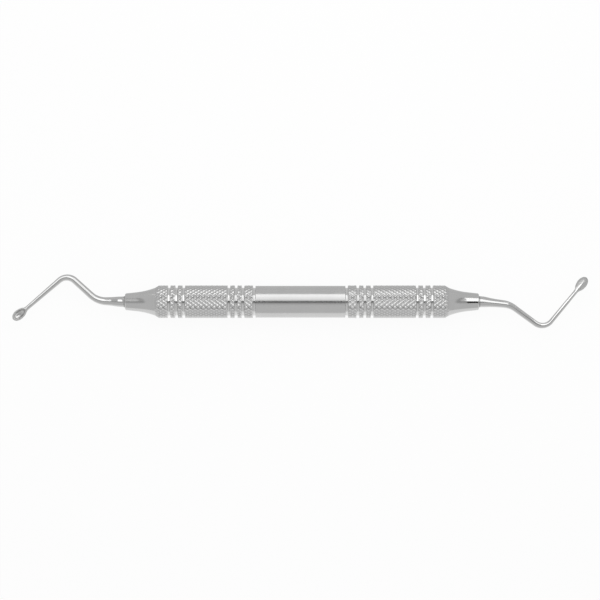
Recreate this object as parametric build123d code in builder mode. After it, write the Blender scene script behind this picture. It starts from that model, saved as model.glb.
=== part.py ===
from build123d import *
from math import cos, radians, sin
import os

# Double-ended bone curette, lying flat. The handle's axis is X, its middle is the
# origin, and both bent ends lie in the plane Z = 0.

# Handle: a round hollow bar with a plain middle panel between knurled bands.
handle_length = 103.9
knurl_diameter = 9.6
panel_diameter = 9.35
pattern_shift = -0.44

# Turned grooves, measured from the middle of the pattern.
panel_groove = 13.56
inner_grooves = (16.85, 18.88, 21.0)
outer_grooves = (34.27, 36.37, 38.55)
groove_mouth = 0.86
groove_slope = 72
groove_depth = 0.72

# Ends of the handle: full girth to the shoulder, a concave waist, a narrow mouth.
shoulder_start = 9.9
shoulder_end = 8.85
shoulder_radius = 4.14
shoulder_ease = 0.3
waist_start = 3.2
waist_radius = 2.78
mouth_radius = 2.46
mouth_break = 0.2

# Bore: wide inside the grip, with a narrow socket for the tang at either end.
bore_radius = 3.5
socket_length = 12.0
tang_radius = 1.2
tang_length = 11.4
tang_break = 0.3
braze_gap = 0.04

# Spoons: an egg-shaped bowl with a ground rim and an elliptical hollow.
bowl_tip_reach = 2.2
bowl_neck_reach = 2.75
bowl_half_width = 1.48
rim_height = 0.72
hollow_half_length = 1.84
hollow_half_width = 0.98
hollow_offset = -0.24

# Neck and keel under the bowl: lead before its middle, half width, half height, drop.
keel_sections = (
    (2.75, 0.68, 0.62, 0.0),
    (2.3, 0.8, 0.58, 0.04),
    (1.8, 0.92, 0.5, 0.14),
    (1.2, 0.84, 0.44, 0.28),
    (0.4, 0.56, 0.36, 0.47),
    (-0.4, 0.3, 0.26, 0.58),
    (-1.3, 0.08, 0.08, 0.3),
)

# Shank bends: rounding at the foot, at the two main bends and at the bowl's slight set.
bends = (12.0, 7.0, 3.4, 18.0)
neck_lead = 3.3
section_spacing = 1.15

half_length = handle_length / 2
knurl_radius = knurl_diameter / 2
panel_radius = panel_diameter / 2
groove_places = [(pattern_shift + side * reach, knurl_radius - groove_depth)
                 for reach in (panel_groove, *inner_grooves, *outer_grooves)
                 for side in (-1, 1)]

with BuildPart() as handle:
    # outer form, turned about the axis
    with BuildSketch() as outline:
        with BuildLine():
            Polyline((0, knurl_radius), (0, 0), (half_length, 0),
                     (half_length, mouth_radius - mouth_break),
                     (half_length - mouth_break, mouth_radius))
            neck_line = Line((half_length - mouth_break, mouth_radius),
                             (half_length - waist_start, waist_radius))
            TangentArc(neck_line @ 1, (half_length - shoulder_end, shoulder_radius),
                       tangent=neck_line % 1)
            Polyline((half_length - shoulder_end, shoulder_radius),
                     (half_length - shoulder_start + shoulder_ease, knurl_radius - shoulder_ease / 2),
                     (half_length - shoulder_start - shoulder_ease, knurl_radius), (0, knurl_radius))
        make_face()
        mirror(about=Plane.YZ)
    revolve(axis=Axis.X)

    # plain panel, a hair below the bands
    with BuildSketch():
        with Locations((pattern_shift, panel_radius)):
            Rectangle(2 * panel_groove, groove_depth, align=(Align.CENTER, Align.MIN))
    revolve(axis=Axis.X, mode=Mode.SUBTRACT)

    # flared grooves
    with BuildSketch():
        with Locations(groove_places):
            Trapezoid(groove_mouth, groove_depth, groove_slope, rotation=180,
                      align=(Align.CENTER, Align.MAX))
    revolve(axis=Axis.X, mode=Mode.SUBTRACT)

    # bore, and a socket at either mouth
    socket_radius = tang_radius + braze_gap
    with BuildSketch():
        with BuildLine():
            Polyline((0, 0), (half_length, 0), (half_length, socket_radius),
                     (half_length - socket_length, socket_radius),
                     (half_length - socket_length, bore_radius), (0, bore_radius), (0, 0))
        make_face()
        mirror(about=Plane.YZ)
    revolve(axis=Axis.X, mode=Mode.SUBTRACT)
handle.part.label = "handle"


def corner_points(legs):
    """Corners of a bent line given as straight legs of (length, angle)."""
    x = y = 0
    corners = [(x, y)]
    for length, angle in legs:
        x += length * cos(radians(angle))
        y += length * sin(radians(angle))
        corners.append((x, y))
    return corners


def radius_at(distance, girths):
    """Shank radius at a distance from the handle's mouth."""
    for (near, near_radius), (far, far_radius) in zip(girths, girths[1:]):
        if distance <= far:
            return near_radius + (far_radius - near_radius) * (distance - near) / (far - near)
    return girths[-1][1]


def working_end(side, facing, legs, girths):
    """One bent end in a single piece: tang, tapered shank, neck, keel and spoon."""
    mouth = Plane(origin=(side * half_length, 0, 0), x_dir=(side, 0, 0), z_dir=(0, 0, -1))
    face_dir = Vector(0, 0, facing)
    corners = corner_points(legs)
    with BuildPart() as end:
        with BuildLine(mouth) as centreline:
            Polyline(*corners)
            for corner, bend in zip(corners[-2:0:-1], reversed(bends)):
                place = mouth.from_local_coords(corner)
                fillet(centreline.vertices().sort_by_distance(place)[0], radius=bend)
        # the wire may run either way, so a share of it is counted from the mouth
        wire = centreline.wire()
        from_mouth = (wire @ 0 - mouth.origin).length < (wire @ 1 - mouth.origin).length

        def station(distance):
            """Place and outward direction on the centreline, a distance from the mouth."""
            share = distance / wire.length if from_mouth else 1 - distance / wire.length
            return wire @ share, wire % share * (1 if from_mouth else -1)

        bowl_place, bowl_dir = station(wire.length)

        # egg-shaped bowl, cut flat at the rim
        rim_plane = Plane(origin=bowl_place + face_dir * rim_height, x_dir=bowl_dir, z_dir=face_dir)
        upright = Plane(origin=rim_plane.origin, x_dir=bowl_dir, z_dir=bowl_dir.cross(face_dir))
        with BuildSketch(rim_plane):
            with BuildLine():
                EllipticalCenterArc((0, 0), bowl_tip_reach, bowl_half_width, start_angle=0, arc_size=90)
                EllipticalCenterArc((0, 0), bowl_neck_reach, bowl_half_width, start_angle=90, arc_size=90)
                Line((-bowl_neck_reach, 0), (bowl_tip_reach, 0))
            make_face()
        bowl_axis = Axis(rim_plane.origin, rim_plane.x_dir)
        revolve(axis=bowl_axis)
        split(bisect_by=rim_plane, keep=Keep.BOTTOM)

        # tapered shank, running on as neck and keel under the bowl
        shank_length = wire.length - neck_lead
        section_count = round(shank_length / section_spacing)
        for index in range(section_count + 1):
            distance = shank_length * index / section_count
            place, direction = station(distance)
            with BuildSketch(Plane(place, x_dir=face_dir.cross(direction), z_dir=direction)):
                Circle(radius_at(distance, girths))
        across = face_dir.cross(bowl_dir)
        for lead, half_width, half_height, drop in keel_sections:
            place = bowl_place - bowl_dir * lead - face_dir * drop
            with BuildSketch(Plane(place, x_dir=across, z_dir=bowl_dir)):
                Ellipse(half_width, half_height)
        loft()

        # hollow
        with BuildSketch(upright):
            with BuildLine():
                EllipticalCenterArc((hollow_offset, 0), hollow_half_length, hollow_half_width,
                                    start_angle=0, arc_size=90)
                EllipticalCenterArc((hollow_offset, 0), hollow_half_length, hollow_half_width,
                                    start_angle=90, arc_size=90)
                Line((hollow_offset - hollow_half_length, 0), (hollow_offset + hollow_half_length, 0))
            make_face()
        revolve(axis=bowl_axis, mode=Mode.SUBTRACT)

        # tang, with its inner end eased
        with BuildSketch(mouth):
            with BuildLine():
                Polyline((0, 0), (-tang_length, 0), (-tang_length, tang_radius - tang_break),
                         (tang_break - tang_length, tang_radius), (0, tang_radius), close=True)
            make_face()
        revolve(axis=Axis(mouth.origin, mouth.x_dir))
    return end


left_working_end = working_end(
    side=-1,
    facing=1,
    legs=((1.0, 0), (7.28, 2.0), (11.91, 42.3), (15.0, -40.7), (3.6, -39.6)),
    girths=((0, 1.75), (0.6, 1.56), (2.2, 1.48), (4.0, 1.27), (6.0, 1.16), (9.5, 1.02),
            (18.0, 0.95), (22.5, 0.8), (34.0, 0.63)),
)
left_working_end.part.label = "left_working_end"

right_working_end = working_end(
    side=1,
    facing=-1,
    legs=((1.2, 0), (8.04, 6.0), (12.51, 36.2), (14.03, -50.3), (3.6, -51.4)),
    girths=((0, 1.66), (1.5, 1.58), (3.4, 1.33), (5.0, 1.2), (8.0, 1.08), (11.0, 0.9),
            (20.0, 0.84), (24.0, 0.7), (34.0, 0.62)),
)
right_working_end.part.label = "right_working_end"

os.makedirs("parts", exist_ok=True)
export_step(handle.part, "parts/handle.step")
export_step(left_working_end.part, "parts/left_working_end.step")
export_step(right_working_end.part, "parts/right_working_end.step")
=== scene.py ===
import bpy
import bmesh
from math import atan2, cos, pi, radians, sin, tan, tau
from mathutils import Matrix, Vector


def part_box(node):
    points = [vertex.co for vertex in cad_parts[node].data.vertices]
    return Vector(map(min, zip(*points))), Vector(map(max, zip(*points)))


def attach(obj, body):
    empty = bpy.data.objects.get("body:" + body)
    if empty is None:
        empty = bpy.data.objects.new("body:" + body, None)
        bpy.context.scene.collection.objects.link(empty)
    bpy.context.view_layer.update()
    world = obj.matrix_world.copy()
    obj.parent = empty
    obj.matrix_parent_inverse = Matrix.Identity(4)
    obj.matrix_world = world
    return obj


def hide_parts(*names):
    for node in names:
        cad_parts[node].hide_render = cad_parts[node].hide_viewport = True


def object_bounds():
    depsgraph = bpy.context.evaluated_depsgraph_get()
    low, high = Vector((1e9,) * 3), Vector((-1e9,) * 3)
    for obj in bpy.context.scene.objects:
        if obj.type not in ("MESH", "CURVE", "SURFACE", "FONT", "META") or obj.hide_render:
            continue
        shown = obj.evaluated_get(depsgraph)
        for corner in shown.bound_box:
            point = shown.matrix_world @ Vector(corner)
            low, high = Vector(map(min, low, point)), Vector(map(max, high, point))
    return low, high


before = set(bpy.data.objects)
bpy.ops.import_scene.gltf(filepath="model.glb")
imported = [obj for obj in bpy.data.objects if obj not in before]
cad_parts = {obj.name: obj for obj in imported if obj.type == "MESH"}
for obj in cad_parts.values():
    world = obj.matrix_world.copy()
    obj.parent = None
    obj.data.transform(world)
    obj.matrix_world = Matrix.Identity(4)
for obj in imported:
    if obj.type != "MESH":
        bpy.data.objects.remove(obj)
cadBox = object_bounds()
mm = 0.001
print("frame loaded:", sorted(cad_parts))


class Wire:
    # a node socket that takes part in sums as a number does
    def __init__(self, tree, socket=None):
        self.tree = tree
        self.socket = socket

    def node(self, kind, settings=None, inputs=None, output=0):
        made = self.tree.nodes.new(kind)
        for name, value in (settings or {}).items():
            setattr(made, name, value)
        for name, value in (inputs or {}).items():
            if isinstance(value, Wire):
                self.tree.links.new(value.socket, made.inputs[name])
            else:
                made.inputs[name].default_value = value
        return Wire(self.tree, made.outputs[output])

    def math(self, operation, other=None, clamp=False):
        inputs = {0: self} if other is None else {0: self, 1: other}
        return self.node("ShaderNodeMath", {"operation": operation, "use_clamp": clamp}, inputs)

    def __add__(self, other):
        return self.math("ADD", other)

    __radd__ = __add__

    def __mul__(self, other):
        return self.math("MULTIPLY", other)

    __rmul__ = __mul__

    def __sub__(self, other):
        return self.math("SUBTRACT", other)

    def __rsub__(self, other):
        return self * -1 + other

    def __truediv__(self, other):
        return self.math("DIVIDE", other)

    def __abs__(self):
        return self.math("ABSOLUTE")

    def limited(self):
        return self.math("MULTIPLY", 1, clamp=True)

    def parts(self):
        # the x, y and z of a vector
        split = self.node("ShaderNodeSeparateXYZ", inputs={0: self}).socket.node
        return [Wire(self.tree, out) for out in split.outputs]

    def between(self, low, high, kind="LINEAR"):
        # 0 below low, 1 above high
        settings = {"clamp": True, "interpolation_type": kind}
        return self.node("ShaderNodeMapRange", settings, {0: self, 1: low, 2: high, 3: 0.0, 4: 1.0})

    def blend(self, first, second):
        # this mask takes a colour from first to second
        inputs = {"Factor": self, 6: first, 7: second}
        return self.node("ShaderNodeMix", {"data_type": "RGBA"}, inputs, output=2)


# colour and roughness of each finish; a dip is how much darker its marks are
steel = {
    "panelColour": 0.61, "panelRoughness": 0.2,
    "grooveColour": 0.72, "grooveRoughness": 0.12, "turnedDip": 0.05,
    # the knurl's valley colour is painted shade in its cuts
    "knurlColour": 0.69, "knurlValleyShadeColour": 0.55, "knurlRoughness": 0.22, "flatRoughness": 0.16,
    "coneColour": 0.61, "coneRoughness": 0.13, "coneDip": 0.07,
    "boreColour": 0.45, "boreShade": 0.3, "boreRoughness": 0.45,
    "shankColour": 0.61, "shankRoughness": 0.11, "shankDip": 0.06,
    # the joint colour is painted shadow at the mouth, together with the joint line
    "jointShadeColour": 0.34, "jointRoughness": 0.3,
    "bowlColour": 0.56, "bowlRoughness": 0.62, "bowlDip": 0.08,
    "cupColour": 0.56, "cupRoughness": 0.16,
    # the hollow's wall colour is painted light against its shade
    "litWallColour": 0.7, "wallRoughness": 0.3,
    "rimColour": 0.56, "rimRoughness": 0.48,
}
# how fine each kind of mark is, and how far it swings the roughness
marks = {
    "contrast": (0.3, 0.7),
    "turnedRings": 900.0, "turnedStretch": (4, 0.15, 0.15), "turnedRingSwing": 0.06,
    "turnedCloud": 160.0, "turnedCloudSwing": 0.05,
    "knurlGrain": 2600.0, "knurlCloud": 300.0, "knurlSwing": 0.04,
    "coneRings": 700.0, "coneStretch": (5, 0.2, 0.2), "coneSwing": 0.08, "coneCloud": 220.0,
    "boreCloud": 300.0, "boreSwing": 0.1,
    "tipCloud": 700.0, "tipGrain": 2500.0, "tipSwing": 0.05,
}


def grey(value):
    return (value, value, value * 0.995, 1)  # a trace warmer than neutral


def newMaterial(name):
    material = bpy.data.materials.new(name)
    material.use_nodes = True
    tree = material.node_tree
    tree.nodes.clear()
    return material, Wire(tree)


def link(start, shader):
    end = start.tree.nodes.new("ShaderNodeOutputMaterial")
    start.tree.links.new(shader.socket, end.inputs["Surface"])


def finishMetal(material, start, colour, roughness):
    inputs = {"Base Color": colour, "Metallic": 1.0, "Roughness": roughness}
    link(start, start.node("ShaderNodeBsdfPrincipled", inputs=inputs))
    return material


def noise(start, place, scale, detail=3.0, stretch=(1, 1, 1)):
    moved = start.node("ShaderNodeMapping", {"vector_type": "POINT"}, {"Vector": place, "Scale": stretch})
    return start.node("ShaderNodeTexNoise", {"noise_dimensions": "3D"},
                      {"Vector": moved, "Scale": scale, "Detail": detail}, output="Fac")


def marked(mask, colour, dip):
    return mask.blend(grey(colour * (1 - dip)), grey(colour))


def swung(level, *swings):
    # noise averages a half, so each swing is centred on the level
    return sum((wave * size for wave, size in swings), level - sum(size for wave, size in swings) / 2)


def turnedSteel(name, part):
    # bright, with faint marks running round the bar
    material, start = newMaterial(name)
    place = start.node("ShaderNodeTexCoord", output="Object")
    rings = noise(start, place, marks["turnedRings"], 2.0, stretch=marks["turnedStretch"])
    cloud = noise(start, place, marks["turnedCloud"])
    tone = (cloud * 0.7 + rings * 0.3).between(*marks["contrast"])
    colour = marked(tone, steel[part + "Colour"], steel["turnedDip"])
    roughness = swung(steel[part + "Roughness"],
                      (rings, marks["turnedRingSwing"]), (cloud, marks["turnedCloudSwing"]))
    return finishMetal(material, start, colour, roughness)


def knurledSteel(knurlRadius, depth):
    # the deeper the cut, the duller, and the darker with painted shade
    material, start = newMaterial("knurled_steel")
    place = start.node("ShaderNodeTexCoord", output="Object")
    x, y, z = place.parts()
    radius = (y * y + z * z).math("SQRT")
    flat = radius.between((knurlRadius - depth) * mm, knurlRadius * mm)
    grain = noise(start, place, marks["knurlGrain"], 4.0)
    cloud = noise(start, place, marks["knurlCloud"])
    tone = (flat * 0.9 + grain * 0.15 + cloud * 0.15 - 0.1).limited()  # mostly height, a little grain
    # the valley colour in the cuts is painted shade, laid on by depth
    colour = tone.blend(grey(steel["knurlValleyShadeColour"]), grey(steel["knurlColour"]))
    gloss = steel["knurlRoughness"] - steel["flatRoughness"]
    roughness = grain * marks["knurlSwing"] + steel["knurlRoughness"] - flat * gloss
    return finishMetal(material, start, colour, roughness)


def satinSteel():
    # the cones
    material, start = newMaterial("satin_steel")
    place = start.node("ShaderNodeTexCoord", output="Object")
    rings = noise(start, place, marks["coneRings"], 2.0, stretch=marks["coneStretch"])
    cloud = noise(start, place, marks["coneCloud"])
    tone = (cloud * 0.6 + rings * 0.4).between(*marks["contrast"])
    colour = marked(tone, steel["coneColour"], steel["coneDip"])
    return finishMetal(material, start, colour, swung(steel["coneRoughness"], (rings, marks["coneSwing"])))


def boreSteel():
    material, start = newMaterial("bore_steel")
    place = start.node("ShaderNodeTexCoord", output="Object")
    cloud = noise(start, place, marks["boreCloud"])
    colour = cloud.blend(grey(steel["boreShade"]), grey(steel["boreColour"]))
    return finishMetal(material, start, colour, swung(steel["boreRoughness"], (cloud, marks["boreSwing"])))


def newTree(name, sockets):
    # a Geometry Nodes tree whose named inputs stand beside its geometry
    tree = bpy.data.node_groups.new(name, "GeometryNodeTree")
    tree.interface.new_socket("Geometry", in_out="INPUT", socket_type="NodeSocketGeometry")
    for label, kind in sockets.items():
        tree.interface.new_socket(label, in_out="INPUT", socket_type="NodeSocket" + kind)
    tree.interface.new_socket("Geometry", in_out="OUTPUT", socket_type="NodeSocketGeometry")
    entry = tree.nodes.new("NodeGroupInput")
    return Wire(tree), {out.name: Wire(tree, out) for out in entry.outputs if out.name}


def finishTree(skin):
    leave = skin.tree.nodes.new("NodeGroupOutput")
    skin.tree.links.new(skin.socket, leave.inputs["Geometry"])
    return skin.tree


def settle(piece, tree, values):
    # runs the tree once and keeps its result as a plain mesh
    modifier = piece.modifiers.new("shape", "NODES")
    modifier.node_group = tree
    for item in tree.interface.items_tree:
        if item.name in values and item.in_out == "INPUT":
            modifier[item.identifier] = values[item.name]
    bpy.context.view_layer.update()
    shaped = piece.evaluated_get(bpy.context.evaluated_depsgraph_get())
    mesh = bpy.data.meshes.new_from_object(shaped)
    piece.modifiers.remove(modifier)
    piece.data = mesh


# the whole handle, in millimetres; grooves are distances from the middle of the pattern
handle = {
    "around": 224, "diamonds": 28, "pitch": 1.56, "rowsPerPitch": 8,
    "knurlDepth": 0.16, "flatShare": 0.14,
    "panelRadius": 4.675, "patternShift": -0.44,
    "grooves": (13.56, 16.85, 18.88, 21.0, 34.27, 36.37, 38.55),
    "grooveMouth": 0.86, "grooveFloor": 0.56, "grooveDepth": 0.72, "grooveRound": 0.12, "grooveLip": 0.01,
    "shoulderStart": 9.9, "shoulderEnd": 8.85, "shoulderRadius": 4.14, "shoulderRound": 1.04,
    "waistStart": 3.2, "waistRadius": 2.78, "mouthRadius": 2.46, "mouthBreak": 0.2, "coneSteps": 14,
    "boreRadius": 3.5, "socket": 12.0, "socketRadius": 1.24,
    "rowMargin": 0.04, "panelMargin": 0.002, "coneLead": 0.05,
    "leastKnurl": 0.12, "knurlFade": 1.6, "knurlMask": 0.02,
    "leastStep": 0.0005, "mergeGap": 0.0002, "sharpAngle": 22,
}


def tangentArc(start, middle, end, steps):
    # points after middle on the arc that leaves the line start-middle and meets end
    start, middle, end = Vector(start), Vector(middle), Vector(end)
    forward = (middle - start).normalized()
    side = Vector((-forward.y, forward.x))
    chord = end - middle
    radius = chord.length_squared / (2 * chord.dot(side))
    centre = middle + side * radius
    first = atan2(middle.y - centre.y, middle.x - centre.x)
    last = atan2(end.y - centre.y, end.x - centre.x)
    turn = (last - first + pi) % tau - pi
    return [(centre.x + abs(radius) * cos(first + turn * step / steps),
             centre.y + abs(radius) * sin(first + turn * step / steps))
            for step in range(1, steps + 1)]


def mouthProfile(halfLength):
    # (distance from the middle, radius) from the mouth in to the shoulder's foot
    h = handle
    lip = (halfLength, h["mouthRadius"] - h["mouthBreak"])
    edge = (halfLength - h["mouthBreak"], h["mouthRadius"])
    waist = (halfLength - h["waistStart"], h["waistRadius"])
    foot = (halfLength - h["shoulderEnd"], h["shoulderRadius"])
    socket = (halfLength, h["socketRadius"])
    return [socket, lip, edge, waist] + tangentArc(edge, waist, foot, h["coneSteps"])


def shoulderRadiusAt(reach, halfLength, knurlRadius):
    # straight shoulder, its corner with the grip rounded off
    h = handle
    start = halfLength - h["shoulderStart"]
    slope = (knurlRadius - h["shoulderRadius"]) / (h["shoulderStart"] - h["shoulderEnd"])
    straight = knurlRadius - max(0, reach - start) * slope
    angle = atan2(slope, 1)
    rounding = h["shoulderRound"]
    lead = rounding * tan(angle / 2)
    near = start - lead
    far = start + lead * cos(angle)
    if near < reach < far:
        return knurlRadius - rounding + (rounding ** 2 - (reach - near) ** 2) ** 0.5
    return straight


def grooveRows(centre, knurlRadius):
    # sloping flanks that ease into a flat floor
    h = handle
    mouth, floor = h["grooveMouth"] / 2, h["grooveFloor"] / 2
    bottom = knurlRadius - h["grooveDepth"]
    corner = h["grooveRound"]
    half = [(mouth + h["leastStep"] * 2, knurlRadius), (mouth, knurlRadius - h["grooveLip"]),
            (floor + corner * 0.3, bottom + corner), (floor, bottom + corner * 0.3),
            (floor - corner * 0.7, bottom)]
    rows = [(centre - reach, radius) for reach, radius in half]
    return rows + [(centre + reach, radius) for reach, radius in reversed(half)]


def handleStations(halfLength, knurlRadius):
    # rows of (x, radius, knurled) from one mouth to the other
    h = handle
    ends = mouthProfile(halfLength)
    rows = [(-reach, radius, 0) for reach, radius in ends]
    centres = sorted(h["patternShift"] + side * reach for reach in h["grooves"] for side in (-1, 1))
    foot = halfLength - h["shoulderEnd"]
    spacing = h["pitch"] / h["rowsPerPitch"]
    inner = h["grooveMouth"] / 2
    edges = [-foot] + [centre + side * inner for centre in centres for side in (-1, 1)] + [foot]
    for index in range(0, len(edges), 2):
        low, high = edges[index], edges[index + 1]
        if low < 0 < high:  # the plain panel
            rows += [(x, h["panelRadius"], 0) for x in (low + h["panelMargin"], high - h["panelMargin"])]
        else:
            row = int(low / spacing) - 1
            while row * spacing < high - h["rowMargin"]:
                x = row * spacing
                if x > low + h["rowMargin"]:
                    radius = shoulderRadiusAt(abs(x), halfLength, knurlRadius)
                    fade = (radius - h["shoulderRadius"]) / (knurlRadius - h["shoulderRadius"])
                    rows.append((x, radius, max(h["leastKnurl"], min(1, fade * h["knurlFade"]))))
                row += 1
        if index // 2 < len(centres):
            rows += [(x, radius, 0) for x, radius in grooveRows(centres[index // 2], knurlRadius)]
    rows += [(reach, radius, 0) for reach, radius in reversed(ends)]
    return rows


def boreStations(halfLength):
    # a socket at each end and the wider bore between them
    h = handle
    half = [(halfLength, h["socketRadius"]), (halfLength - h["socket"], h["socketRadius"]),
            (halfLength - h["socket"], h["boreRadius"])]
    return [(-x, radius, 0) for x, radius in half] + [(x, radius, 0) for x, radius in reversed(half)]


def profileMesh(name, lines):
    # one chain of edges for each line of stations; girth and knurl ride along as attributes
    vertices, edges, girths, knurls, bores = [], [], [], [], []
    for number, stations in enumerate(lines):
        previous = None
        for x, radius, knurled in stations:
            if vertices and previous is not None and x <= vertices[-1][0] / mm:
                x = vertices[-1][0] / mm + handle["leastStep"]
            vertices.append((x * mm, 0, 0))
            girths.append(radius * mm)
            knurls.append(knurled)
            bores.append(number)
            if previous is not None:
                edges.append((previous, len(vertices) - 1))
            previous = len(vertices) - 1
    mesh = bpy.data.meshes.new(name)
    mesh.from_pydata(vertices, edges, [])
    for label, values in (("girth", girths), ("knurled", knurls), ("bore", bores)):
        attribute = mesh.attributes.new(label, "FLOAT", "POINT")
        attribute.data.foreach_set("value", [float(value) for value in values])
    piece = bpy.data.objects.new(name, mesh)
    bpy.context.scene.collection.objects.link(piece)
    return piece


def latheTree(panelMaterial, grooveMaterial, knurlMaterial, coneMaterial, boreMaterial):
    # turns the stations into a skin and presses the diamond knurl into its bands
    start, value = newTree("knurled_lathe", {
        "Around": "Int", "Diamonds": "Float", "Pitch": "Float", "Depth": "Float", "Flat Share": "Float",
        "Panel Middle": "Float", "Panel End": "Float", "Cone Start": "Float"})

    def attribute(name):
        return start.node("GeometryNodeInputNamedAttribute", {"data_type": "FLOAT"}, {"Name": name})

    curve = start.node("GeometryNodeMeshToCurve", inputs={"Mesh": value["Geometry"]})
    ring = start.node("GeometryNodeCurvePrimitiveCircle",
                      inputs={"Resolution": value["Around"], "Radius": 1.0})
    skin = start.node("GeometryNodeCurveToMesh",
                      inputs={"Curve": curve, "Profile Curve": ring, "Scale": attribute("girth")})
    inner = attribute("bore").math("GREATER_THAN", 0.5)
    skin = start.node("GeometryNodeFlipFaces", inputs={"Mesh": skin, "Selection": inner})

    x, y, z = start.node("GeometryNodeInputPosition").parts()
    turns = y.math("ARCTAN2", z) * value["Diamonds"] / tau
    lengths = x / value["Pitch"]

    def fromGroove(phase):
        # 0 in the middle of a diamond, 1 in the groove beside it
        return abs((phase + 100.5).math("FRACT") - 0.5) * 2  # 100 keeps the phase above zero

    rightHand = fromGroove(lengths + turns)
    leftHand = fromGroove(lengths - turns)
    cut = rightHand.math("MAXIMUM", leftHand).between(value["Flat Share"], 1.0, "SMOOTHSTEP")
    press = cut * value["Depth"] * attribute("knurled") / (y * y + z * z).math("SQRT")
    offset = start.node("ShaderNodeCombineXYZ", inputs={1: y * press * -1, 2: z * press * -1})
    skin = start.node("GeometryNodeSetPosition", inputs={"Geometry": skin, "Offset": offset})
    skin = start.node("GeometryNodeMergeByDistance",
                      inputs={"Geometry": skin, "Distance": handle["mergeGap"] * mm})
    skin = start.node("GeometryNodeTriangulate", {"quad_method": "SHORTEST_DIAGONAL"}, {"Mesh": skin})
    skin = start.node("GeometryNodeSetMaterial", inputs={"Geometry": skin, "Material": panelMaterial})
    knurled = attribute("knurled").math("GREATER_THAN", handle["knurlMask"])
    beyondPanel = abs(x - value["Panel Middle"]).math("GREATER_THAN", value["Panel End"])
    outer = abs(x).math("GREATER_THAN", value["Cone Start"])
    for mask, material in ((beyondPanel, grooveMaterial), (outer, coneMaterial),
                           (knurled, knurlMaterial), (inner, boreMaterial)):
        skin = start.node("GeometryNodeSetMaterial",
                          inputs={"Geometry": skin, "Selection": mask, "Material": material})
    return finishTree(start.node("GeometryNodeRealizeInstances", inputs={"Geometry": skin}))


def buildHandle():
    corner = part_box("handle")[1]
    halfLength, knurlRadius = corner.x / mm, corner.y / mm
    piece = profileMesh("knurled_handle",
                        [handleStations(halfLength, knurlRadius), boreStations(halfLength)])
    tree = latheTree(turnedSteel("turned_steel", "panel"), turnedSteel("groove_steel", "groove"),
                     knurledSteel(knurlRadius, handle["knurlDepth"]), satinSteel(), boreSteel())
    settle(piece, tree, {
        "Around": handle["around"], "Diamonds": float(handle["diamonds"]),
        "Pitch": handle["pitch"] * mm, "Depth": handle["knurlDepth"] * mm,
        "Flat Share": handle["flatShare"], "Panel Middle": handle["patternShift"] * mm,
        "Panel End": (handle["grooves"][0] - handle["grooveMouth"] / 2) * mm,
        "Cone Start": (halfLength - handle["shoulderEnd"] - handle["coneLead"]) * mm,
    })
    piece.data.shade_smooth()
    piece.data.set_sharp_from_angle(angle=radians(handle["sharpAngle"]))
    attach(piece, "root")
    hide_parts("handle")
    print("handle:", len(piece.data.polygons), "faces")


# legs are (length, heading) from the mouth outwards, in millimetres and degrees;
# girths are (distance from the mouth, radius), the tang first
shanks = {
    "left_working_end": {
        "side": -1, "facing": 1,
        "legs": ((1.0, 0), (7.28, 2.0), (11.91, 42.3), (15.0, -40.7), (3.6, -39.6)),
        "girths": ((-11.4, 0.9), (-11.1, 1.2), (-0.01, 1.2), (0, 1.75), (0.6, 1.56), (2.2, 1.48),
                   (4.0, 1.27), (6.0, 1.16), (9.5, 1.02), (18.0, 0.95), (22.5, 0.8), (34.0, 0.63)),
    },
    "right_working_end": {
        "side": 1, "facing": -1,
        "legs": ((1.2, 0), (8.04, 6.0), (12.51, 36.2), (14.03, -50.3), (3.6, -51.4)),
        "girths": ((-11.4, 0.9), (-11.1, 1.2), (-0.01, 1.2), (0, 1.66), (1.5, 1.58), (3.4, 1.33),
                   (5.0, 1.2), (8.0, 1.08), (11.0, 0.9), (20.0, 0.84), (24.0, 0.7), (34.0, 0.62)),
    },
}
shank = {
    "bends": (12.0, 7.0, 3.4, 18.0), "step": 0.2, "around": 48,
    "spoonShare": 6.4, "overlap": 0.4, "tuck": 0.03, "tuckLead": 0.05, "skin": 0.002,
    "voxel": 0.05, "smoothing": 24, "mergeGap": 0.0005, "sharpAngle": 40,
    # the joint range holds the ring of painted shadow at the mouth
    "shadedJoint": (0.2, 0.55),
}
# where each finish of the spoon begins and ends, along, across and above its middle
bowl = {
    "hollowLength": 1.84, "hollowWidth": 0.98, "hollowShift": -0.24,
    "hollowEdge": (0.96, 1.02), "hollowFloor": (-0.45, -0.3), "wall": (0.4, 0.75),
    "rimEdge": (0.94, 1.0), "rimHeight": (0.62, 0.68), "neck": (-2.6, -1.9),
    "keelWidth": (0.3, 0.42), "keelEnd": (1.0, 1.4), "keelHeight": (-0.6, -0.4),
}


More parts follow.
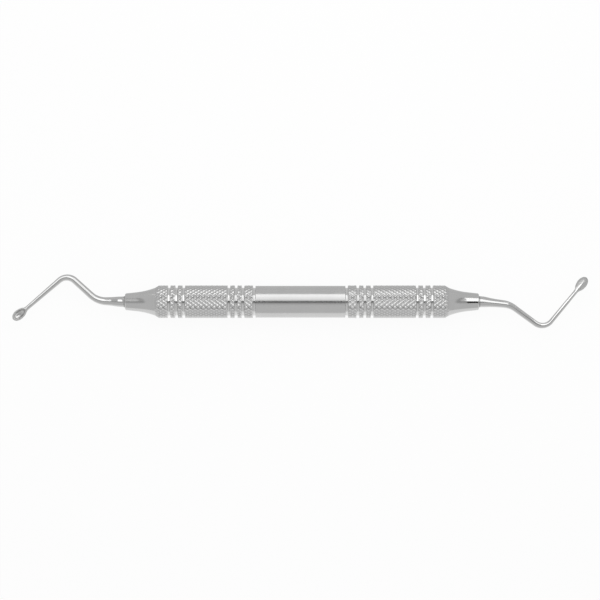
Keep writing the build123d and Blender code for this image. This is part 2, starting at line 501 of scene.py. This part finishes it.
def spoonSteel(name, middle, outward, facing, mouth):
    # polished shank and keel, with painted shadow at the mouth; the bowl's flanks and rim satin, its hollow
    # brighter: glossier, and with painted light on its steep walls
    material, start = newMaterial(name)
    place = start.node("ShaderNodeTexCoord", output="Object")
    turned = start.node("ShaderNodeMapping", {"vector_type": "TEXTURE"},
                        {"Vector": place, "Location": middle,
                         "Rotation": (0, 0, atan2(outward.y, outward.x))})
    u, v, w = [part / mm for part in turned.parts()]
    height = w * facing
    along = (u - bowl["hollowShift"]) / bowl["hollowLength"]
    across = v / bowl["hollowWidth"]
    ring = (along * along + across * across).math("SQRT")  # 1 on the hollow's edge
    onRim = height.between(*bowl["rimHeight"]) * ring.between(*bowl["rimEdge"])
    inHollow = (1 - ring.between(*bowl["hollowEdge"])) * height.between(*bowl["hollowFloor"])
    steep = ring.between(*bowl["wall"])
    keel = ((1 - abs(v).between(*bowl["keelWidth"])) * (1 - u.between(*bowl["keelEnd"]))
            * (1 - height.between(*bowl["keelHeight"])))
    onBowl = u.between(*bowl["neck"]) * (1 - keel)
    # a dark ring on the shank next to the mouth: painted shadow where it enters the handle, together with
    # the joint line
    shadedJoint = 1 - (abs(place.parts()[0]) / mm - mouth).between(*shank["shadedJoint"])
    cloud = noise(start, place, marks["tipCloud"])
    grain = noise(start, place, marks["tipGrain"])

    polish = shadedJoint.blend(marked(cloud, steel["shankColour"], steel["shankDip"]), grey(steel["jointShadeColour"]))
    ground = marked(cloud, steel["bowlColour"], steel["bowlDip"])
    # the steep walls' lighter colour is painted light that lifts the hollow's shade
    cup = steep.blend(grey(steel["cupColour"]), grey(steel["litWallColour"]))
    colour = onBowl.blend(polish, onRim.blend(inHollow.blend(ground, cup), grey(steel["rimColour"])))

    cupRoughness = steep * (steel["wallRoughness"] - steel["cupRoughness"]) + steel["cupRoughness"]
    bowlRoughness = (steel["bowlRoughness"] + inHollow * (cupRoughness - steel["bowlRoughness"])
                     + onRim * (steel["rimRoughness"] - steel["bowlRoughness"]))
    roughness = (swung(steel["shankRoughness"], (grain, marks["tipSwing"]))
                 + onBowl * (bowlRoughness - steel["shankRoughness"])
                 + shadedJoint * (steel["jointRoughness"] - steel["shankRoughness"]))
    return finishMetal(material, start, colour, roughness)


def bentPath(legs, bends):
    # straight runs and arcs as (length, heading at its start, turn), from the mouth outwards
    runs, trimmed = [], 0.0
    for index, (length, heading) in enumerate(legs):
        lead = 0.0
        if index < len(bends):
            turn = radians(legs[index + 1][1] - heading)
            lead = bends[index] * abs(tan(turn / 2))
        runs.append((length - trimmed - lead, radians(heading), 0.0))
        if index < len(bends):
            runs.append((bends[index] * abs(turn), radians(heading), turn))
        trimmed = lead
    return runs


def pathPoint(runs, distance):
    # place and heading on the path; before its start it runs straight on
    x = y = 0.0
    if distance <= 0:
        return distance, 0.0, 0.0
    for length, heading, turn in runs:
        used = min(distance, length)
        if turn:
            bend = length / turn
            swept = heading + turn * used / length
            x += bend * (sin(swept) - sin(heading))
            y -= bend * (cos(swept) - cos(heading))
            heading = swept
        else:
            x += used * cos(heading)
            y += used * sin(heading)
        distance -= used
        if distance <= 1e-9:
            break
    return x, y, heading


def girthAt(girths, distance):
    for (near, nearRadius), (far, farRadius) in zip(girths, girths[1:]):
        if distance <= far:
            share = (distance - near) / (far - near)
            return nearRadius + (farRadius - nearRadius) * share
    return girths[-1][1]


def tubeTree():
    # a round tube along the stations, as thick as each one says
    start, value = newTree("shank_tube", {"Around": "Int", "Steel": "Material"})
    girth = start.node("GeometryNodeInputNamedAttribute", {"data_type": "FLOAT"}, {"Name": "girth"})
    curve = start.node("GeometryNodeMeshToCurve", inputs={"Mesh": value["Geometry"]})
    ring = start.node("GeometryNodeCurvePrimitiveCircle",
                      inputs={"Resolution": value["Around"], "Radius": 1.0})
    tube = start.node("GeometryNodeCurveToMesh",
                      inputs={"Curve": curve, "Profile Curve": ring, "Scale": girth, "Fill Caps": True})
    tube = start.node("GeometryNodeRealizeInstances", inputs={"Geometry": tube})
    return finishTree(start.node("GeometryNodeSetMaterial",
                                 inputs={"Geometry": tube, "Material": value["Steel"]}))


def buildShank(name, mouthX, spoonStart, runs, material):
    # the tang and the tapered shank up to the spoon's share of it
    plan = shanks[name]
    distances = [near for near, radius in plan["girths"] if near <= 0]
    while distances[-1] < spoonStart + shank["overlap"]:
        distances.append(distances[-1] + shank["step"])
    places, girths = [], []
    for distance in distances:
        x, y, heading = pathPoint(runs, distance)
        places.append(((mouthX + plan["side"] * x) * mm, -plan["side"] * y * mm, 0))
        tuck = shank["tuck"] if distance > spoonStart - shank["tuckLead"] else shank["skin"]
        girths.append((girthAt(plan["girths"], distance) - tuck) * mm)
    mesh = bpy.data.meshes.new(name + "_stations")
    mesh.from_pydata(places, [(index, index + 1) for index in range(len(places) - 1)], [])
    mesh.attributes.new("girth", "FLOAT", "POINT").data.foreach_set("value", girths)
    piece = bpy.data.objects.new("polished_" + name, mesh)
    bpy.context.scene.collection.objects.link(piece)
    settle(piece, tubeTree(), {"Around": shank["around"], "Steel": material})
    return piece


def buildSpoon(name, cut, outward, material):
    # the solid's own bowl and neck past the cut, its facets and seams worn smooth
    shape = bmesh.new()
    shape.from_mesh(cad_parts[name].data)
    bmesh.ops.remove_doubles(shape, verts=shape.verts, dist=shank["mergeGap"] * mm)
    everything = shape.verts[:] + shape.edges[:] + shape.faces[:]
    bmesh.ops.bisect_plane(shape, geom=everything, dist=1e-9, plane_co=cut, plane_no=outward,
                           clear_inner=True)
    bmesh.ops.holes_fill(shape, edges=[edge for edge in shape.edges if edge.is_boundary], sides=0)
    bmesh.ops.recalc_face_normals(shape, faces=shape.faces)
    bmesh.ops.scale(shape, vec=[1 / mm] * 3, verts=shape.verts)  # voxels are laid in millimetres
    mesh = bpy.data.meshes.new(name + "_spoon")
    shape.to_mesh(mesh)
    shape.free()
    piece = bpy.data.objects.new(name + "_spoon", mesh)
    bpy.context.scene.collection.objects.link(piece)
    remesh = piece.modifiers.new("voxels", "REMESH")
    remesh.mode = "VOXEL"
    remesh.voxel_size = shank["voxel"]
    ease = piece.modifiers.new("ease", "SMOOTH")
    ease.factor = 0.5
    ease.iterations = shank["smoothing"]
    bpy.context.view_layer.update()
    worn = bpy.data.meshes.new_from_object(piece.evaluated_get(bpy.context.evaluated_depsgraph_get()))
    bpy.data.objects.remove(piece)
    worn.transform(Matrix.Scale(mm, 4))
    worn.materials.clear()
    worn.materials.append(material)
    return worn


def buildWorkingEnd(name):
    plan = shanks[name]
    runs = bentPath(plan["legs"], shank["bends"])
    length = sum(run[0] for run in runs)
    side = plan["side"]
    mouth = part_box("handle")[1].x / mm
    mouthX = side * mouth

    def onPath(distance):
        x, y, heading = pathPoint(runs, distance)
        place = Vector(((mouthX + side * x) * mm, -side * y * mm, 0))
        return place, Vector((side * cos(heading), -side * sin(heading), 0))

    middle, outward = onPath(length)
    material = spoonSteel(name + "_steel", middle, outward, plan["facing"], mouth)
    spoonStart = length - shank["spoonShare"]
    piece = buildShank(name, mouthX, spoonStart, runs, material)
    cut, cutDirection = onPath(spoonStart)
    spoon = buildSpoon(name, cut, cutDirection, material)
    shape = bmesh.new()
    shape.from_mesh(piece.data)
    shape.from_mesh(spoon)
    shape.to_mesh(piece.data)
    shape.free()
    bpy.data.meshes.remove(spoon)
    piece.data.shade_smooth()
    piece.data.set_sharp_from_angle(angle=radians(shank["sharpAngle"]))
    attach(piece, "root")
    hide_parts(name)
    print(name + ":", len(piece.data.polygons), "faces")


# table, light and camera in millimetres; cards are strips of one level each, from edge to edge
setting = {
    "tableSize": 3000.0, "tableGlow": 0.92, "tableColour": 0.98, "tableGap": 0.02,
    "worldLevel": 0.69,
    "boxHeight": 200.0, "coreDrop": 0.5, "sheetLift": 0.01,
    "mainBox": {"west": -99, "east": 120, "middle": (-40, 40), "edges": (36, 70, 130, 200, 296),
                "levels": (0.4, 0.56, 0.74, 0.86), "wingEdge": 16, "wingLevel": 1.15},
    "shadeCard": {"west": -160, "east": 184, "edges": (-90, -58, -28, 16), "levels": (0.62, 0.54, 0.4)},
    "darkCard": {"west": -62, "east": 118, "edges": (-46, -20, 17), "levels": (0.42, 0.05)},
    "leftBlot": {"west": -160, "east": -124, "edges": (16, 220), "levels": (0.48,)},
    "rightBlot": {"west": 152, "east": 184, "edges": (16, 220), "levels": (0.44,)},
    "greyCard": {"west": -400, "east": 400, "edges": (3.0, 400.0), "levels": (0.68,)},
    # (start and end along the path, height, near and far side as shares of the height, level)
    "glints": {
        "left_working_end": (
            (19.0, 35.4, 12.0, 0.45, 2.6, 1.55),    # apex to spoon
        ),
        "right_working_end": (
            (0.5, 9.0, 5.0, 0.06, 1.0, 1.7),        # first leg
            (9.2, 20.5, 4.0, 0.0, 2.0, 0.64),       # second leg stays grey
            (22.0, 34.6, 7.0, 0.22, 3.3, 1.9),      # apex to spoon
            (34.6, 39.0, 7.0, 0.1, 0.62, 2.2),      # keel
            (33.5, 41.0, 7.2, 0.66, 4.0, 0.62),     # flank beside the keel stays grey
            (-2.9, 0.85, 6.0, 0.1, 0.8, 1.8),       # end of the cone
            (-2.9, 0.85, 6.0, -0.23, 0.08, 0.0),    # dark line below it
        ),
    },
    "lens": 135.0, "sensor": 36.0,
    "frameWidth": 176.46, "frameCentre": (-0.5735, 0.514),
}


def cameraDistance():
    return setting["frameWidth"] * setting["lens"] / setting["sensor"]


def buildTable(height):
    half = setting["tableSize"] / 2 * mm
    mesh = bpy.data.meshes.new("table")
    corners = ((-half, -half), (half, -half), (half, half), (-half, half))
    mesh.from_pydata([(x, y, height) for x, y in corners], [], [(0, 1, 2, 3)])
    table = bpy.data.objects.new("table", mesh)
    bpy.context.scene.collection.objects.link(table)
    material, start = newMaterial("table_top")
    paint = start.node("ShaderNodeBsdfDiffuse", inputs={"Color": grey(setting["tableColour"])})
    glow = start.node("ShaderNodeEmission", inputs={"Color": (1, 1, 1, 1), "Strength": 1.0})
    rays = start.node("ShaderNodeLightPath").socket.node
    seen = sum((Wire(start.tree, rays.outputs[name]) for name in
                ("Is Camera Ray", "Is Glossy Ray", "Is Transmission Ray")), 0)
    share = seen.limited() * setting["tableGlow"]
    link(start, start.node("ShaderNodeMixShader", inputs={0: share, 1: paint, 2: glow}))
    mesh.materials.append(material)


def buildSoftBox(name, centre, size, level):
    # a lamp that shines straight down; its level is the brightness of its face
    lamp = bpy.data.lights.new(name, "AREA")
    lamp.shape = "RECTANGLE"
    lamp.size, lamp.size_y = size[0] * mm, size[1] * mm
    lamp.energy = level * pi * lamp.size * lamp.size_y
    box = bpy.data.objects.new(name, lamp)
    box.location = (centre[0] * mm, centre[1] * mm, setting["boxHeight"] * mm)
    box.visible_camera = False
    bpy.context.scene.collection.objects.link(box)


def buildMainBox():
    # strips behind the panel, brightest towards the back, and a bright wing either side
    box = setting["mainBox"]
    west, east = box["middle"]
    edges = box["edges"]
    for near, far, level in zip(edges, edges[1:], box["levels"]):
        buildSoftBox("main_box", ((west + east) / 2, (near + far) / 2), (east - west, far - near), level)
    for left, right in ((box["west"], west), (east, box["east"])):
        near, far = box["wingEdge"], edges[-1]
        buildSoftBox("wing_box", ((left + right) / 2, (near + far) / 2), (right - left, far - near),
                     box["wingLevel"])


def buildCard(name, corners, height, level):
    # a card that only the steel sees
    mesh = bpy.data.meshes.new(name)
    mesh.from_pydata([(x * mm, y * mm, height) for x, y in corners], [], [(0, 1, 2, 3)])
    card = bpy.data.objects.new(name, mesh)
    card.visible_camera = False
    card.visible_shadow = False
    card.visible_diffuse = False
    bpy.context.scene.collection.objects.link(card)
    material, start = newMaterial(name)
    link(start, start.node("ShaderNodeEmission", inputs={"Color": (1, 1, 1, 1), "Strength": level}))
    mesh.materials.append(material)


def buildCards(tableHeight):
    # overhead, shade with a dark core and a blot past each cone; on the table, a grey sheet behind
    top = setting["boxHeight"] * mm
    heights = {"shadeCard": top, "darkCard": top - setting["coreDrop"] * mm, "leftBlot": top,
               "rightBlot": top, "greyCard": tableHeight + setting["sheetLift"] * mm}
    for name, height in heights.items():
        card = setting[name]
        west, east = card["west"], card["east"]
        for near, far, level in zip(card["edges"], card["edges"][1:], card["levels"]):
            buildCard(name, [(west, near), (east, near), (east, far), (west, far)], height, level)


def buildGlint(name, begin, end, height, near, far, level):
    # a low card beside one stretch of a shank, moved out as the camera's perspective asks
    plan = shanks[name]
    runs = bentPath(plan["legs"], shank["bends"])
    mouthX = plan["side"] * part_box("handle")[1].x / mm
    spread = 1 + height / cameraDistance()
    corners = []
    for distance, shares in ((begin, (near, far)), (end, (far, near))):
        x, y, heading = pathPoint(runs, distance)
        for share in shares:
            out = share * height
            corners.append(((mouthX + plan["side"] * x) * spread + sin(heading) * out,
                            -plan["side"] * y * spread + cos(heading) * out))
    buildCard("glint", corners, height * mm, level)


def buildWorld():
    world = bpy.data.worlds.new("studio")
    bpy.context.scene.world = world
    world.use_nodes = True
    tree = world.node_tree
    tree.nodes.clear()
    start = Wire(tree)
    rays = start.node("ShaderNodeLightPath", output="Is Camera Ray")
    level = rays * (1 - setting["worldLevel"]) + setting["worldLevel"]
    sky = start.node("ShaderNodeBackground", inputs={"Color": (1, 1, 1, 1), "Strength": level})
    end = tree.nodes.new("ShaderNodeOutputWorld")
    tree.links.new(sky.socket, end.inputs["Surface"])


def buildCamera():
    lens = bpy.data.cameras.new("camera")
    lens.lens = setting["lens"]
    lens.sensor_width = setting["sensor"]
    lens.clip_start = 0.01
    lens.clip_end = 20
    camera = bpy.data.objects.new("camera", lens)
    x, y = setting["frameCentre"]
    camera.location = (x * mm, y * mm, cameraDistance() * mm)
    bpy.context.scene.collection.objects.link(camera)
    bpy.context.scene.camera = camera


buildHandle()
for name in shanks:
    buildWorkingEnd(name)
tableHeight = cadBox[0].z - setting["tableGap"] * mm
buildTable(tableHeight)
buildMainBox()
buildCards(tableHeight)
for name, glints in setting["glints"].items():
    for glint in glints:
        buildGlint(name, *glint)
print("table and lights done")
buildWorld()
buildCamera()
bpy.context.scene.view_settings.view_transform = "Standard"
print("scene built")
